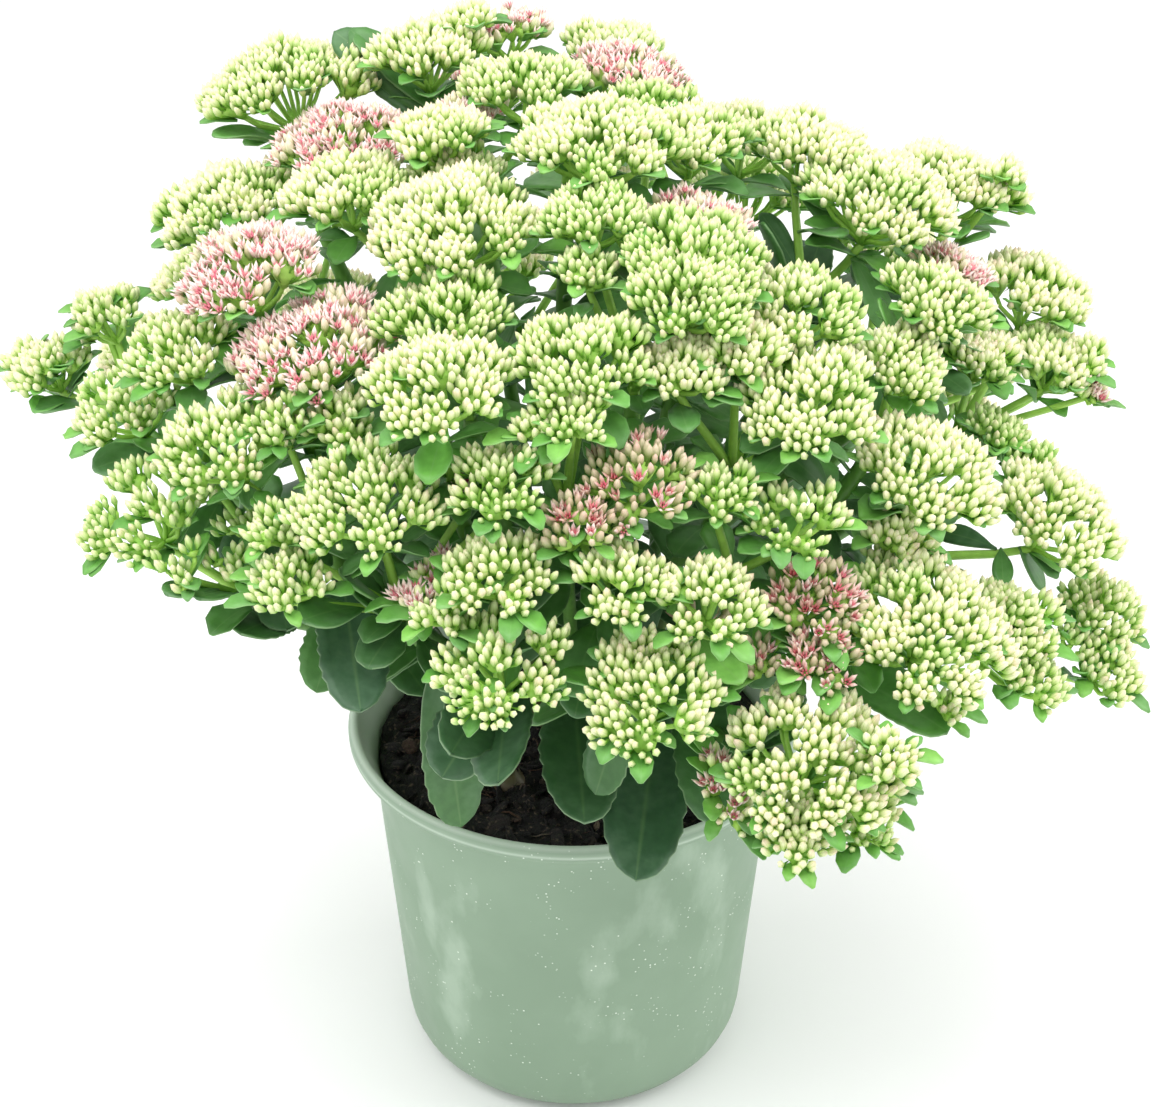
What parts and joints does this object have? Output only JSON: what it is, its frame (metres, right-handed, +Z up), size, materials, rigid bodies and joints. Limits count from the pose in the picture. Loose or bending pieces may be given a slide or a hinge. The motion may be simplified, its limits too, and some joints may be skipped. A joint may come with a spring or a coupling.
{
  "type": "potted stonecrop plant",
  "caption": "Stonecrop with flat heads of pale buds and pink flowers on leafy stems, growing in peat in a round plastic nursery pot with a rolled rim.",
  "frame": {"origin": "centre of the flat face under the pot, on which it stands", "axes": "+Z up along the pot's axis, -Y towards the picture's camera, +X to the right in the picture"},
  "size_m": [0.4409, 0.4258, 0.438],
  "materials": {
    "pot": "pale sage-green plastic, semi-matt, lightly scuffed and dusty",
    "peat": "moist dark peat with fibres and bark chips",
    "stem": "smooth fleshy green stem and leaf, slightly waxy",
    "bud": "cream to lime-green flower buds, satin",
    "flower": "dusty pink open flowers, matt"
  },
  "bodies": {
    "root": {"pot": "pot", "peat": "peat", "head_upper_left": "bud", "head_top_left": "bud", "head_top_pink": "flower", "head_top_back": "bud", "head_top_middle": "bud", "head_top_right": "bud", "head_outer_right_top": "bud", "head_outer_left_top": "bud", "head_upper_left_front": "bud", "head_left_pink": "flower", "head_upper_front_left": "bud", "head_upper_front_right": "bud", "head_middle_pink": "flower", "head_far_left": "bud", "head_left_front_pink": "flower", "head_left_shoulder": "bud", "head_left_front": "bud", "head_centre_left": "bud", "head_centre": "bud", "head_centre_right": "bud", "head_right_shoulder": "bud", "head_right_pink": "flower", "head_far_right": "bud", "head_low_left": "bud", "head_front_left_low": "bud", "head_front_pink": "flower", "head_front_sprig": "bud", "head_right_front": "bud", "head_front_low": "bud", "head_front_drop": "bud", "head_low_pink": "flower", "head_low_right": "bud", "head_far_right_low": "bud", "head_drooping_right": "bud", "head_back_left": "bud", "head_back_pink": "flower", "head_back_right": "bud", "head_right_back": "bud", "head_back": "bud", "head_back_left_low": "bud", "head_back_low": "bud", "stems_mid_left": "stem", "stems_mid_right": "stem", "stems_mid_front": "stem", "stems_front": "stem", "stems_front_left": "stem", "stems_front_right": "stem", "stems_left": "stem", "stems_right": "stem", "stems_back_left": "stem", "stems_back_right": "stem", "stems_back": "stem"}
  },
  "joints": []
}
